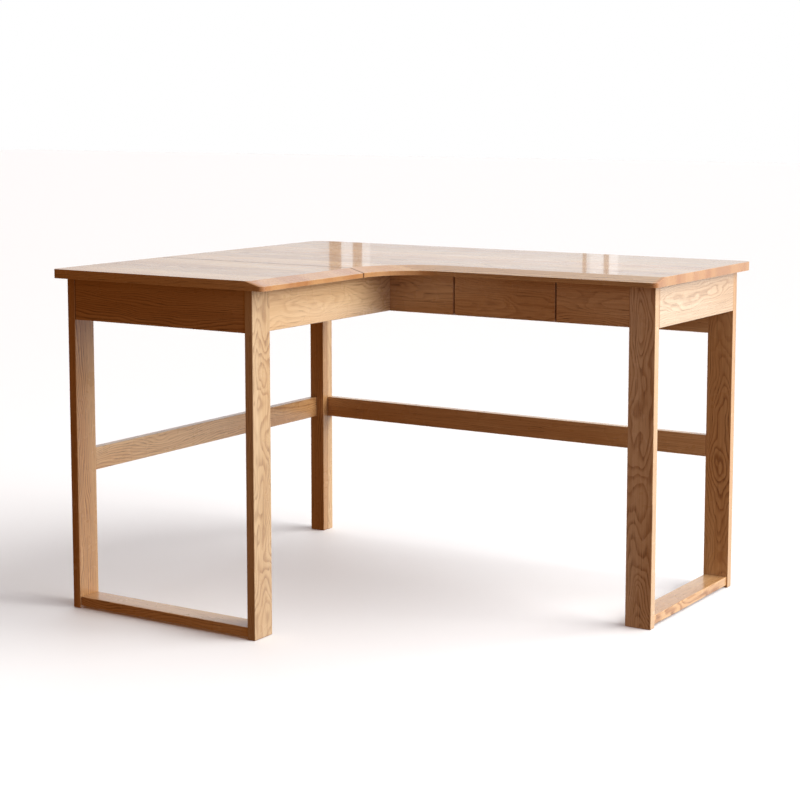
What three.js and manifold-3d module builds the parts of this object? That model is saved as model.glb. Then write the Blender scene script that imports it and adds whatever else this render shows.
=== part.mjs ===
// Corner desk: an L-shaped oak desk on two rectangular leg frames and a corner leg, with one drawer.
// Millimetres, +Z up. Inside the desk group x runs right from the left wall and y is measured from the
// back wall, negative towards the user. The group moves the middle of the desk's footprint to the origin.
import * as THREE from 'three';
import { mergeGeometries, mergeVertices } from 'three/addons/utils/BufferGeometryUtils.js';
import Module from 'manifold-3d';

const wasm = await Module();
wasm.setup();

// ---- driving dimensions -------------------------------------------------------------------------
const LENGTH = 1200;
const WIDTH = 1000;
const HEIGHT = 750;
const BOARD = 20;
const MAIN_DEPTH = 505;
const RETURN_DEPTH = 565;
const CURVE_RADIUS = 125;
const SEAM_GAP = 3;
const CORNER_ROUND = 12;
const WALL_CORNER_ROUND = 40;
const BEVEL_WIDTH = 35;
const BEVEL_DROP = 10;

const LEG_WIDTH = 60;
const WALL_OVERHANG = 30;
const LEFT_OVERHANG = 25;
const RIGHT_OVERHANG = 20;
const RETURN_FRONT_OVERHANG = 20;
const USER_OVERHANG = 40;
const SET_BACK = 2;
const FLUSH_OFFSET = 1;
const APRON_HEIGHT = 90;
const BACK_APRON_HEIGHT = 144;
const STRETCHER_BOTTOM = 300;
const STRETCHER_HEIGHT = 50;
const FOOT_RAIL_BOTTOM = 5;
const FOOT_RAIL_INSET = 3;
const RAIL_THICKNESS = 18;
const TOP_RAIL_DEPTH = 40;
const BATTEN_WIDTH = 60;
const BATTEN_END_GAP = 15;

const DRAWER_LEFT = 694;
const DRAWER_FRONT_WIDTH = 250;
const DRAWER_GAP = 3;
const DRAWER_EDGE_GAP = 2;
const DRAWER_DEPTH = 350;
const DRAWER_BOX_BOTTOM = 652;
const DRAWER_BOX_HEIGHT = 52;
const DRAWER_SIDE = 12;
const DRAWER_PLY = 5;
const PLY_GROOVE = 6;
const PLY_RAISE = 4;
const SCOOP_RADIUS = 12;
const SCOOP_LENGTH = 100;
const DRAWER_SCREW_INSET = 35;
const DRAWER_SCREW_LOW = 19;
const DRAWER_SCREW_HIGH = 12;

const SLIDE_THICKNESS = 12.7;
const SLIDE_HEIGHT = 35;
const SLIDE_BOTTOM = 660.5;
const SLIDE_LENGTH = 350;
const SLIDE_STEEL = 1.2;
const BALL_TRACK = 3.4;
const CABINET_LIP = 9;
const MIDDLE_WEB = 3;
const MIDDLE_LIP = 10.5;
const DRAWER_LIP = 5.5;

const TENON_LENGTH = 12;
const TENON_ROOT = 4;
const TENON_SHOULDER = 0.25;
const SCREW_RADIUS = 2;
const SCREW_HEAD_RADIUS = 4;
const SCREW_HEAD_HEIGHT = 2.2;
const SCREW_TIP = 3;
const SCREW_CROWN = 0.8;
const HOLE_OVERRUN = 2;
const CLEARANCE = 0.3;
const BRACKET_LEG = 24;
const BRACKET_WIDTH = 20;
const BRACKET_STEEL = 2.5;
const BRACKET_ROWS = [-830, -260];
const BRACKET_COLUMNS = [280, 820];
const BATTEN_SCREW_COLUMNS = [120, 270, 420];
const BATTEN_SCREW_LENGTH = 32;
const DRAWER_SCREW_LENGTH = 25;

// Facets of the round shapes, and the distance within which vertices are one.
const CURVE_STEPS = 24;
const CORNER_STEPS = 8;
const WALL_CORNER_STEPS = 16;
const SCREW_SIDES = 12;
const SCOOP_SIDES = 16;
const MERGE_DISTANCE = 1e-4;

// ---- places worked out from the driving dimensions ----------------------------------------------
const underTop = HEIGHT - BOARD;
const apronBottom = underTop - APRON_HEIGHT;
const seamY = -(MAIN_DEPTH + CURVE_RADIUS);
const leftOuter = LEFT_OVERHANG;
const leftInner = leftOuter + BOARD;
const innerFace = RETURN_DEPTH - USER_OVERHANG;
const frameFront = -(WIDTH - RETURN_FRONT_OVERHANG);
const frameBack = frameFront + LEG_WIDTH;
const rightOuter = LENGTH - RIGHT_OVERHANG;
const rightInner = rightOuter - LEG_WIDTH;
const userFace = -(MAIN_DEPTH - USER_OVERHANG);
const wallFace = -WALL_OVERHANG;
const wallInner = wallFace - BOARD;
const cornerRight = leftOuter + 2 * BOARD;
const cornerFront = wallInner - BOARD;
const innerApronRight = innerFace - FLUSH_OFFSET;
const innerApronLeft = innerApronRight - BOARD;
const panelFront = userFace + SET_BACK;
const panelBack = panelFront + BOARD;
const drawerRight = DRAWER_LEFT + DRAWER_FRONT_WIDTH;
const leftPanelEnd = DRAWER_LEFT - DRAWER_GAP;
const rightPanelStart = drawerRight + DRAWER_GAP;
const leftBearerFace = leftPanelEnd - FLUSH_OFFSET;
const rightBearerFace = rightPanelStart + FLUSH_OFFSET;
const boxLeft = leftBearerFace + SLIDE_THICKNESS;
const boxRight = rightBearerFace - SLIDE_THICKNESS;
const boxTop = DRAWER_BOX_BOTTOM + DRAWER_BOX_HEIGHT;
const boxBack = panelBack + DRAWER_DEPTH;

// ---- materials ----------------------------------------------------------------------------------
function oak(color) {
  return new THREE.MeshStandardMaterial({ color, roughness: 0.45, metalness: 0 });
}

function steel(color) {
  return new THREE.MeshStandardMaterial({ color, roughness: 0.35, metalness: 0.9 });
}

const OAK_TOP = 0xd9b184;
const OAK_FRAME = 0xc9965f;
const OAK_INSIDE = 0xd2a878;
const PLY = 0xdcc39b;
const ZINC = 0xb8bcc0;

// ---- geometry helpers ---------------------------------------------------------------------------
function box(x, y, z) {
  const shape = new THREE.BoxGeometry(x[1] - x[0], y[1] - y[0], z[1] - z[0]);
  return shape.translate((x[0] + x[1]) / 2, (y[0] + y[1]) / 2, (z[0] + z[1]) / 2);
}

// Turns a shape that was made along +Z so that it points along a direction, then puts it at a point.
function pointAlong(shape, direction, point) {
  const turn = new THREE.Quaternion().setFromUnitVectors(new THREE.Vector3(0, 0, 1), direction);
  return shape.applyQuaternion(turn).translate(point.x, point.y, point.z);
}

function toSolid(geometry) {
  const bare = geometry.clone();
  bare.deleteAttribute('normal');
  bare.deleteAttribute('uv');
  const merged = mergeVertices(bare, MERGE_DISTANCE);
  return new wasm.Manifold(new wasm.Mesh({
    numProp: 3,
    vertProperties: Float32Array.from(merged.attributes.position.array),
    triVerts: Uint32Array.from(merged.index.array),
  }));
}

function toGeometry(solid) {
  const mesh = solid.getMesh();
  const indexed = new THREE.BufferGeometry();
  indexed.setAttribute('position', new THREE.BufferAttribute(mesh.vertProperties, 3));
  indexed.setIndex(new THREE.BufferAttribute(mesh.triVerts, 1));
  const flat = indexed.toNonIndexed();
  flat.computeVertexNormals();
  return flat;
}

// Cuts every tool that reaches into the geometry out of it.
function cut(geometry, tools) {
  geometry.computeBoundingBox();
  let solid = null;
  for (const tool of tools) {
    tool.computeBoundingBox();
    if (geometry.boundingBox.intersectsBox(tool.boundingBox)) {
      solid = (solid ?? toSolid(geometry)).subtract(toSolid(tool));
    }
  }
  return solid ? toGeometry(solid) : geometry;
}

// ---- desk tops ----------------------------------------------------------------------------------
// A rim point has the inset that its place on the upper face takes from the bevel.
function rimPoint(x, y, insetX = 0, insetY = 0) {
  return { x, y, insetX, insetY };
}

function roundCorner(centre, radius, startAngle, steps, insetX = 0, insetY = 0) {
  const points = [];
  for (let i = 0; i <= steps; i += 1) {
    const angle = startAngle + (i / steps) * (Math.PI / 2);
    const x = centre[0] + radius * Math.cos(angle);
    const y = centre[1] + radius * Math.sin(angle);
    points.push(rimPoint(x, y, insetX, insetY));
  }
  return points;
}

// The hollow curve between the two wings, walked from the return to the main wing.
function wingCurve(steps) {
  const centre = [RETURN_DEPTH + CURVE_RADIUS, seamY];
  const points = [];
  for (let i = 0; i <= steps; i += 1) {
    const angle = Math.PI - (i / steps) * (Math.PI / 2);
    const outX = Math.cos(angle);
    const outY = Math.sin(angle);
    points.push(rimPoint(
      centre[0] + CURVE_RADIUS * outX,
      centre[1] + CURVE_RADIUS * outY,
      BEVEL_WIDTH * outX,
      BEVEL_WIDTH * outY,
    ));
  }
  return points;
}

// Lofts a top from its underside, its rim below the bevel and its upper face.
function loftTop(rim) {
  const count = rim.length;
  const rings = [
    rim.map((p) => [p.x, p.y, underTop]),
    rim.map((p) => [p.x, p.y, HEIGHT - BEVEL_DROP]),
    rim.map((p) => [p.x + p.insetX, p.y + p.insetY, HEIGHT]),
  ];
  const faces = [];
  for (let ring = 0; ring < rings.length - 1; ring += 1) {
    for (let i = 0; i < count; i += 1) {
      const next = (i + 1) % count;
      const low = ring * count;
      const high = low + count;
      faces.push(low + i, low + next, high + next, low + i, high + next, high + i);
    }
  }
  const underside = THREE.ShapeUtils.triangulateShape(rim.map((p) => new THREE.Vector2(p.x, p.y)), []);
  const upper = THREE.ShapeUtils.triangulateShape(
    rings[2].map((p) => new THREE.Vector2(p[0], p[1])),
    [],
  );
  for (const [a, b, c] of underside) {
    faces.push(a, c, b);
  }
  for (const [a, b, c] of upper) {
    faces.push(2 * count + a, 2 * count + b, 2 * count + c);
  }
  const indexed = new THREE.BufferGeometry();
  indexed.setAttribute('position', new THREE.Float32BufferAttribute(rings.flat(2), 3));
  indexed.setIndex(faces);
  const flat = indexed.toNonIndexed();
  flat.computeVertexNormals();
  return flat;
}

function mainTop() {
  const r = CORNER_ROUND;
  const wall = WALL_CORNER_ROUND;
  return loftTop([
    ...wingCurve(CURVE_STEPS),
    ...roundCorner([LENGTH - r, -MAIN_DEPTH + r], r, -Math.PI / 2, CORNER_STEPS, 0, BEVEL_WIDTH),
    ...roundCorner([LENGTH - r, -r], r, 0, CORNER_STEPS),
    ...roundCorner([wall, -wall], wall, Math.PI / 2, WALL_CORNER_STEPS),
    rimPoint(0, seamY),
  ]);
}

function returnTop() {
  const r = CORNER_ROUND;
  const edge = seamY - SEAM_GAP;
  return loftTop([
    rimPoint(RETURN_DEPTH, edge, -BEVEL_WIDTH, 0),
    rimPoint(0, edge),
    ...roundCorner([r, -WIDTH + r], r, Math.PI, CORNER_STEPS),
    ...roundCorner([RETURN_DEPTH - r, -WIDTH + r], r, -Math.PI / 2, CORNER_STEPS, -BEVEL_WIDTH, 0),
  ]);
}

// ---- joints and fixings ---------------------------------------------------------------------------
const UP = new THREE.Vector3(0, 0, 1);

// Widens a range by a margin at both ends; a negative margin narrows it.
function widen(range, margin) {
  return [range[0] - margin, range[1] + margin];
}

const screwHoles = [];
const mortises = [];

// A board with a stub tenon on each end that is named in ends. Its tenons enter the boards beside it,
// so each leaves a mortise for them.
function tenonedBoard(owner, x, y, z, along, ends) {
  const ranges = { x, y, z };
  const sizes = Object.entries(ranges).filter(([axis]) => axis !== along);
  let solid = toSolid(box(x, y, z));
  for (const end of ends) {
    const face = end > 0 ? ranges[along][1] : ranges[along][0];
    const tenon = { [along]: [face - TENON_ROOT, face + TENON_LENGTH] };
    const mortise = { [along]: [face - CLEARANCE, face + TENON_LENGTH + CLEARANCE] };
    if (end < 0) {
      tenon[along] = [face - TENON_LENGTH, face + TENON_ROOT];
      mortise[along] = [face - TENON_LENGTH - CLEARANCE, face + CLEARANCE];
    }
    for (const [axis, range] of sizes) {
      const shoulder = (range[1] - range[0]) * TENON_SHOULDER;
      tenon[axis] = widen(range, -shoulder);
      mortise[axis] = widen(tenon[axis], CLEARANCE);
    }
    solid = solid.add(toSolid(box(tenon.x, tenon.y, tenon.z)));
    mortises.push({ owner, shape: box(mortise.x, mortise.y, mortise.z) });
  }
  return toGeometry(solid);
}

// A pan-head screw whose head rests on a surface at a point. Its hole is added to screwHoles.
function screw(point, direction, length) {
  const profile = [
    new THREE.Vector2(0, -SCREW_HEAD_HEIGHT),
    new THREE.Vector2(SCREW_HEAD_RADIUS * SCREW_CROWN, -SCREW_HEAD_HEIGHT),
    new THREE.Vector2(SCREW_HEAD_RADIUS, -SCREW_HEAD_HEIGHT / 2),
    new THREE.Vector2(SCREW_HEAD_RADIUS, 0),
    new THREE.Vector2(SCREW_RADIUS, 0),
    new THREE.Vector2(SCREW_RADIUS, length - SCREW_TIP),
    new THREE.Vector2(0, length),
  ];
  const body = new THREE.LatheGeometry(profile, SCREW_SIDES).rotateX(Math.PI / 2);
  screwHoles.push(screwHole(point, direction, length));
  return pointAlong(body, direction, point);
}

function screwHole(point, direction, length) {
  const radius = SCREW_RADIUS + CLEARANCE;
  const hole = new THREE.CylinderGeometry(radius, radius, length + HOLE_OVERRUN, SCREW_SIDES);
  return pointAlong(hole.rotateX(Math.PI / 2).translate(0, 0, length / 2), direction, point);
}

// The steel angles that hold the tops down on the aprons. Each is given by the top of its apron's face
// and by the way that this face looks.
function bracketPlaces() {
  const places = [];
  const add = (x, y, faceX, faceY) => places.push({ x, y, facing: new THREE.Vector3(faceX, faceY, 0) });
  add((leftInner + innerApronLeft) / 2, frameFront + SET_BACK + BOARD, 0, 1);
  for (const y of BRACKET_ROWS) {
    add(leftInner, y, 1, 0);
    add(innerApronLeft, y, -1, 0);
  }
  for (const x of BRACKET_COLUMNS) {
    add(x, wallInner, 0, -1);
  }
  add(rightOuter - BOARD, BRACKET_ROWS[1], -1, 0);
  return places;
}

function angleBracket(place) {
  const outline = new THREE.Shape([
    new THREE.Vector2(0, 0),
    new THREE.Vector2(0, -BRACKET_LEG),
    new THREE.Vector2(BRACKET_STEEL, -BRACKET_LEG),
    new THREE.Vector2(BRACKET_STEEL, -BRACKET_STEEL),
    new THREE.Vector2(BRACKET_LEG, -BRACKET_STEEL),
    new THREE.Vector2(BRACKET_LEG, 0),
  ]);
  const shape = new THREE.ExtrudeGeometry(outline, { depth: BRACKET_WIDTH, bevelEnabled: false });
  shape.translate(0, 0, -BRACKET_WIDTH / 2).rotateX(Math.PI / 2);
  shape.rotateZ(Math.atan2(place.facing.y, place.facing.x));
  return shape.translate(place.x, place.y, underTop);
}

// The two screw holes of a bracket: one into the apron and one up into the top.
function bracketHoles(place) {
  const middle = (BRACKET_LEG + BRACKET_STEEL) / 2;
  const onApron = new THREE.Vector3(place.x, place.y, underTop - middle);
  onApron.addScaledVector(place.facing, BRACKET_STEEL);
  const underDesk = new THREE.Vector3(place.x, place.y, underTop - BRACKET_STEEL);
  underDesk.addScaledVector(place.facing, middle);
  return [
    screwHole(onApron, place.facing.clone().negate(), BRACKET_STEEL),
    screwHole(underDesk, UP, BRACKET_STEEL),
  ];
}

function battenScrews() {
  const shapes = [];
  const away = BATTEN_WIDTH / 4;
  for (const x of BATTEN_SCREW_COLUMNS) {
    for (const y of [seamY + away, seamY - SEAM_GAP - away]) {
      shapes.push(screw(new THREE.Vector3(x, y, underTop - RAIL_THICKNESS), UP, BATTEN_SCREW_LENGTH));
    }
  }
  return shapes;
}

// ---- drawer slides ------------------------------------------------------------------------------
// A channel of one slide member: its web stands at webX and its lips reach to lipX.
function channel(webX, lipX, lipInset) {
  const low = SLIDE_BOTTOM + lipInset;
  const high = SLIDE_BOTTOM + SLIDE_HEIGHT - lipInset;
  const webInner = webX + Math.sign(lipX - webX) * SLIDE_STEEL;
  const outline = new THREE.Shape([
    new THREE.Vector2(webX, low),
    new THREE.Vector2(lipX, low),
    new THREE.Vector2(lipX, low + SLIDE_STEEL),
    new THREE.Vector2(webInner, low + SLIDE_STEEL),
    new THREE.Vector2(webInner, high - SLIDE_STEEL),
    new THREE.Vector2(lipX, high - SLIDE_STEEL),
    new THREE.Vector2(lipX, high),
    new THREE.Vector2(webX, high),
  ]);
  const bar = new THREE.ExtrudeGeometry(outline, { depth: SLIDE_LENGTH, bevelEnabled: false });
  return bar.rotateX(Math.PI / 2).translate(0, panelBack + SLIDE_LENGTH, 0);
}

// The three nested members of the slide on one side. Outward is 1 towards the right, -1 to the left.
function slideMembers(side, bearerFace, outward) {
  const at = (distance) => bearerFace - outward * distance;
  const middleInset = SLIDE_STEEL + BALL_TRACK;
  const innerInset = 2 * middleInset;
  return {
    [`${side}_slide_cabinet_member`]: channel(at(0), at(CABINET_LIP), 0),
    [`${side}_slide_middle_member`]: channel(at(MIDDLE_WEB), at(MIDDLE_LIP), middleInset),
    [`${side}_slide_drawer_member`]: channel(at(SLIDE_THICKNESS), at(DRAWER_LIP), innerInset),
  };
}

// ---- drawer -------------------------------------------------------------------------------------
function drawerFront() {
  const board = box([DRAWER_LEFT, drawerRight], [panelFront, panelBack], [
    apronBottom + DRAWER_EDGE_GAP,
    underTop - DRAWER_EDGE_GAP,
  ]);
  const scoop = new THREE.CylinderGeometry(SCOOP_RADIUS, SCOOP_RADIUS, SCOOP_LENGTH, SCOOP_SIDES);
  scoop.rotateZ(Math.PI / 2);
  scoop.translate((DRAWER_LEFT + drawerRight) / 2, panelBack, apronBottom + DRAWER_EDGE_GAP);
  return cut(board, [scoop]);
}

function drawerBottom() {
  const z = DRAWER_BOX_BOTTOM + PLY_RAISE;
  return box(
    [boxLeft + PLY_GROOVE, boxRight - PLY_GROOVE],
    [panelBack + PLY_GROOVE, boxBack - PLY_GROOVE],
    [z, z + DRAWER_PLY],
  );
}

function drawerGroove() {
  const z = DRAWER_BOX_BOTTOM + PLY_RAISE;
  return box(
    [boxLeft + PLY_GROOVE - CLEARANCE, boxRight - PLY_GROOVE + CLEARANCE],
    [panelBack + PLY_GROOVE - CLEARANCE, boxBack - PLY_GROOVE + CLEARANCE],
    [z, z + DRAWER_PLY + CLEARANCE],
  );
}

function drawerFrontScrews() {
  const shapes = [];
  const forward = new THREE.Vector3(0, -1, 0);
  for (const x of [boxLeft + DRAWER_SCREW_INSET, boxRight - DRAWER_SCREW_INSET]) {
    for (const z of [DRAWER_BOX_BOTTOM + DRAWER_SCREW_LOW, boxTop - DRAWER_SCREW_HIGH]) {
      shapes.push(screw(new THREE.Vector3(x, panelBack + DRAWER_SIDE, z), forward, DRAWER_SCREW_LENGTH));
    }
  }
  return shapes;
}

// ---- wooden boards ------------------------------------------------------------------------------
const legZ = [0, underTop];
const apronZ = [apronBottom, underTop];
const backApronZ = [underTop - BACK_APRON_HEIGHT, underTop];
const stretcherZ = [STRETCHER_BOTTOM, STRETCHER_BOTTOM + STRETCHER_HEIGHT];
const footRailZ = [FOOT_RAIL_BOTTOM, FOOT_RAIL_BOTTOM + BOARD];
const topRailZ = [underTop - RAIL_THICKNESS, underTop];
const bearerZ = [apronBottom, underTop - RAIL_THICKNESS];
const drawerBoxZ = [DRAWER_BOX_BOTTOM, boxTop];
const frameY = [frameFront, frameBack];
const insetFrameY = [frameFront + FOOT_RAIL_INSET, frameBack - FOOT_RAIL_INSET];
const rightLegX = [rightInner, rightOuter];
const insetRightX = [rightInner + FOOT_RAIL_INSET, rightOuter - FOOT_RAIL_INSET];
const panelY = [panelFront, panelBack];
const wallY = [wallInner, wallFace];
const rightSpan = [userFace + BOARD, wallInner];
const leftSpan = [frameBack, cornerFront];
const wallSpan = [cornerRight, rightInner];
const leftBoardX = [leftOuter, leftInner];
const legInnerLeft = innerFace - BOARD;
const bearerY = [panelBack, wallInner];
const boxInside = [boxLeft + DRAWER_SIDE, boxRight - DRAWER_SIDE];

const returnApronY = [frameFront + SET_BACK, frameFront + SET_BACK + BOARD];
const returnSpan = [leftInner, legInnerLeft];
const endApronX = [rightOuter - BOARD, rightOuter];
const innerApronX = [innerApronLeft, innerApronRight];
const innerApronY = [frameBack, wallInner];
const topRailX = [innerApronRight, rightOuter - BOARD];
const topRailY = [panelBack, panelBack + TOP_RAIL_DEPTH];
const battenX = [leftInner + BATTEN_END_GAP, innerApronLeft - BATTEN_END_GAP];
const seamMiddle = seamY - SEAM_GAP / 2;
const battenY = [seamMiddle - BATTEN_WIDTH / 2, seamMiddle + BATTEN_WIDTH / 2];
const leftBearerX = [leftBearerFace - RAIL_THICKNESS, leftBearerFace];
const rightBearerX = [rightBearerFace, rightBearerFace + RAIL_THICKNESS];
const bothEnds = [-1, 1];

const tops = {
  main_top: mainTop(),
  return_top: returnTop(),
};

const legs = {
  left_frame_outer_leg: box(leftBoardX, frameY, legZ),
  left_frame_inner_leg: box([legInnerLeft, innerFace], frameY, legZ),
  right_frame_front_leg: box(rightLegX, [userFace, userFace + BOARD], legZ),
  right_frame_back_leg: box(rightLegX, wallY, legZ),
  corner_leg_front_half: box([leftOuter, cornerRight], [cornerFront, wallInner], legZ),
  corner_leg_back_half: box([leftOuter, cornerRight], wallY, legZ),
};

const railPlaces = {
  return_front_apron: [returnSpan, returnApronY, apronZ, 'x', bothEnds],
  left_foot_rail: [returnSpan, insetFrameY, footRailZ, 'x', bothEnds],
  right_end_apron: [endApronX, rightSpan, apronZ, 'y', bothEnds],
  right_foot_rail: [insetRightX, rightSpan, footRailZ, 'y', bothEnds],
  left_side_apron: [leftBoardX, leftSpan, apronZ, 'y', bothEnds],
  return_inner_apron: [innerApronX, innerApronY, apronZ, 'y', bothEnds],
  back_apron: [wallSpan, wallY, backApronZ, 'x', bothEnds],
  front_apron_left: [[innerApronRight, leftPanelEnd], panelY, apronZ, 'x', [-1]],
  front_apron_right: [[rightPanelStart, rightInner], panelY, apronZ, 'x', [1]],
  left_stretcher: [leftBoardX, leftSpan, stretcherZ, 'y', bothEnds],
  back_stretcher: [wallSpan, wallY, stretcherZ, 'x', bothEnds],
};
const rails = {};
for (const [name, places] of Object.entries(railPlaces)) {
  rails[name] = tenonedBoard(name, ...places);
}

const supports = {
  front_top_rail: box(topRailX, topRailY, topRailZ),
  corner_cross_rail: box([leftInner, innerApronLeft], panelY, apronZ),
  seam_batten: box(battenX, battenY, topRailZ),
  drawer_bearer_left: box(leftBearerX, bearerY, bearerZ),
  drawer_bearer_right: box(rightBearerX, bearerY, bearerZ),
};

const drawerBox = {
  drawer_left_side: box([boxLeft, boxLeft + DRAWER_SIDE], [panelBack, boxBack], drawerBoxZ),
  drawer_right_side: box([boxRight - DRAWER_SIDE, boxRight], [panelBack, boxBack], drawerBoxZ),
  drawer_box_front: box(boxInside, [panelBack, panelBack + DRAWER_SIDE], drawerBoxZ),
  drawer_back: box(boxInside, [boxBack - DRAWER_SIDE, boxBack], drawerBoxZ),
};

// ---- steel fixings ------------------------------------------------------------------------------
const numbered = (name, shapes) => Object.fromEntries(shapes.map((shape, i) => [`${name}_${i + 1}`, shape]));
const brackets = bracketPlaces();
const bracketCuts = brackets.flatMap(bracketHoles);
const screws = {
  ...numbered('seam_batten_screw', battenScrews()),
  ...numbered('drawer_front_screw', drawerFrontScrews()),
};
const slides = {
  ...slideMembers('left', leftBearerFace, -1),
  ...slideMembers('right', rightBearerFace, 1),
};

// ---- the desk -----------------------------------------------------------------------------------
const desk = new THREE.Group();
desk.name = 'corner_desk';
desk.position.set(-LENGTH / 2, WIDTH / 2, 0);

// Adds shapes as meshes, each after the tools that reach into it are cut out.
function addAll(shapes, material, toolsFor = () => []) {
  for (const [name, shape] of Object.entries(shapes)) {
    const mesh = new THREE.Mesh(cut(shape, toolsFor(name)), material());
    mesh.name = name;
    desk.add(mesh);
  }
}

const mortisesIn = (name) => mortises.filter(({ owner }) => owner !== name).map(({ shape }) => shape);
const frameOak = () => oak(OAK_FRAME);
const insideOak = () => oak(OAK_INSIDE);
const zinc = () => steel(ZINC);

addAll(tops, () => oak(OAK_TOP), () => screwHoles);
addAll(legs, frameOak, mortisesIn);
addAll(rails, frameOak, mortisesIn);
addAll(supports, insideOak, () => screwHoles);
addAll({ drawer_front: drawerFront() }, frameOak, () => screwHoles);
addAll(drawerBox, insideOak, () => [drawerGroove(), ...screwHoles]);
addAll({ drawer_bottom: drawerBottom() }, () => oak(PLY));
addAll(slides, zinc);
addAll(numbered('top_bracket', brackets.map(angleBracket)), zinc, () => bracketCuts);
addAll(screws, zinc);

export default desk;
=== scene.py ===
"""Looks of the corner desk: lacquered oak, zinc-plated fixings, a studio floor, lights and the camera.

Everything is in metres in the desk's own frame: +X right along the main wing, +Y to the wall, +Z up.
"""

import math

import bmesh
import bpy
from mathutils import Matrix, Vector


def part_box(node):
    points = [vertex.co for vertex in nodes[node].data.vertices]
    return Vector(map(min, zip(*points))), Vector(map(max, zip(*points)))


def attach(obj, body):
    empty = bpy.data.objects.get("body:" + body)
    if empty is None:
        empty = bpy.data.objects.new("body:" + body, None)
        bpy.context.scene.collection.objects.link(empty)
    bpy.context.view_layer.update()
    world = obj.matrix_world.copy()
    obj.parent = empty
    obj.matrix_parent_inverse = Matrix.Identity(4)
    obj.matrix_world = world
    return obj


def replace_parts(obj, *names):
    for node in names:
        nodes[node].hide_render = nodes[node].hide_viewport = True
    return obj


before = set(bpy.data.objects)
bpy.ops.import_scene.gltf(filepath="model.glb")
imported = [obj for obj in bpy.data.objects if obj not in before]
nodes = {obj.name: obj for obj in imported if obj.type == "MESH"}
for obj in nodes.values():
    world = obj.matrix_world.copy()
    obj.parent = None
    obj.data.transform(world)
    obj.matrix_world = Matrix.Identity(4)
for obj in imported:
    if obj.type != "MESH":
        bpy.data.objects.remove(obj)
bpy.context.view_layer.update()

MM = 0.001


# ---- node helpers ----------------------------------------------------------------------------------
class Tree:
    """Short ways to add and join nodes of one node tree."""

    def __init__(self, tree):
        self.tree = tree

    def add(self, kind, inputs=None, **settings):
        node = self.tree.nodes.new(kind)
        for key, value in settings.items():
            setattr(node, key, value)
        for key, value in (inputs or {}).items():
            self.feed(node.inputs[key], value)
        return node

    def feed(self, socket, value):
        if isinstance(value, bpy.types.NodeSocket):
            self.tree.links.new(value, socket)
        else:
            socket.default_value = value

    def math(self, operation, a, b=0.0):
        return self.add("ShaderNodeMath", {0: a, 1: b}, operation=operation).outputs[0]

    def vectors(self, operation, a, b):
        node = self.add("ShaderNodeVectorMath", {0: a, 1: b}, operation=operation)
        return node.outputs["Value" if operation == "DOT_PRODUCT" else "Vector"]

    def split(self, vector):
        return self.add("ShaderNodeSeparateXYZ", {0: vector}).outputs

    def noise(self, vector, cycles, detail=1.0, roughness=0.5, distortion=0.0):
        """Noise with some cycles per metre: one number, or one for each axis."""
        if isinstance(cycles, tuple):
            vector = self.vectors("MULTIPLY", vector, cycles)
            cycles = 1.0
        inputs = {
            "Vector": vector,
            "Scale": cycles,
            "Detail": detail,
            "Roughness": roughness,
            "Distortion": distortion,
        }
        return self.add("ShaderNodeTexNoise", inputs).outputs["Fac"]

    def remap(self, value, low, high, to_low=0.0, to_high=1.0, smooth=False):
        inputs = {0: value, 1: low, 2: high, 3: to_low, 4: to_high}
        node = self.add("ShaderNodeMapRange", inputs, clamp=True)
        if smooth:
            node.interpolation_type = "SMOOTHSTEP"
        return node.outputs[0]

    def mix(self, factor, a, b, blend="MIX"):
        node = self.add("ShaderNodeMix", data_type="RGBA", blend_type=blend, clamp_factor=True)
        self.feed(node.inputs[0], factor)
        self.feed(node.inputs[6], a)
        self.feed(node.inputs[7], b)
        return node.outputs[2]


def srgb(red, green, blue):
    """A linear colour from 0-255 display values."""
    def linear(value):
        value /= 255
        return value / 12.92 if value <= 0.04045 else ((value + 0.055) / 1.055) ** 2.4

    return (linear(red), linear(green), linear(blue))


def new_material(name):
    material = bpy.data.materials.new(name)
    material.use_nodes = True
    material.node_tree.nodes.clear()
    return material, Tree(material.node_tree)


# ---- oak -------------------------------------------------------------------------------------------
LATEWOOD = srgb(214, 172, 120)
EARLYWOOD = srgb(160, 106, 58)
PALE_WOOD = srgb(232, 202, 158)
HEARTWOOD = srgb(186, 132, 80)
MEAN_WOOD = srgb(208, 166, 116)
END_GRAIN = srgb(170, 112, 72)
PORE = srgb(92, 54, 27)
RINGS_PER_METRE = 310.0
EVEN_TONE = (1.0, 1.0, 1.0)

# Cycles per metre of each noise: along the grain, across it and through the board.
STREAK_CYCLES = (14.0, 850.0, 850.0)
STRAND_CYCLES = (3.5, 230.0, 230.0)
RAY_CYCLES = (60.0, 500.0, 40.0)
TINT_CYCLES = (1.3, 10.0, 10.0)
BLOCK_CYCLES = (1.0, 22.0, 6.0)
END_PORE_CYCLES = 900.0
# Bends of the rings, from slow to quick: cycles per metre, and how far the rings swing in metres.
RING_BENDS = (
    ((1.8, 6.0, 6.0), 0.075),
    ((5.5, 15.0, 15.0), 0.036),
    ((16.0, 45.0, 45.0), 0.008),
)
# How far one unit of seed moves the wood that a board is cut from, in metres.
SEED_SHIFT = (3.17, 1.31, 0.73)
UNEVEN_CYCLES = 55.0
UNEVEN_RINGS = 2.4
HEAVY_CYCLES = 24.0
# Shares of a ring's width: where its early wood has faded out, and where the next ring's sets in.
EARLY_ENDS = 0.55
EARLY_BEGINS = 0.86

# The streak noise that makes a pore: in late wood and in early wood, and how much more for a full one.
PORE_LIMITS = (0.65, 0.50)
PORE_SOFTNESS = 0.07
# Ray noise, from no ray to a full one.
BRIGHT_RAYS = (0.66, 0.76)
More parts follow.
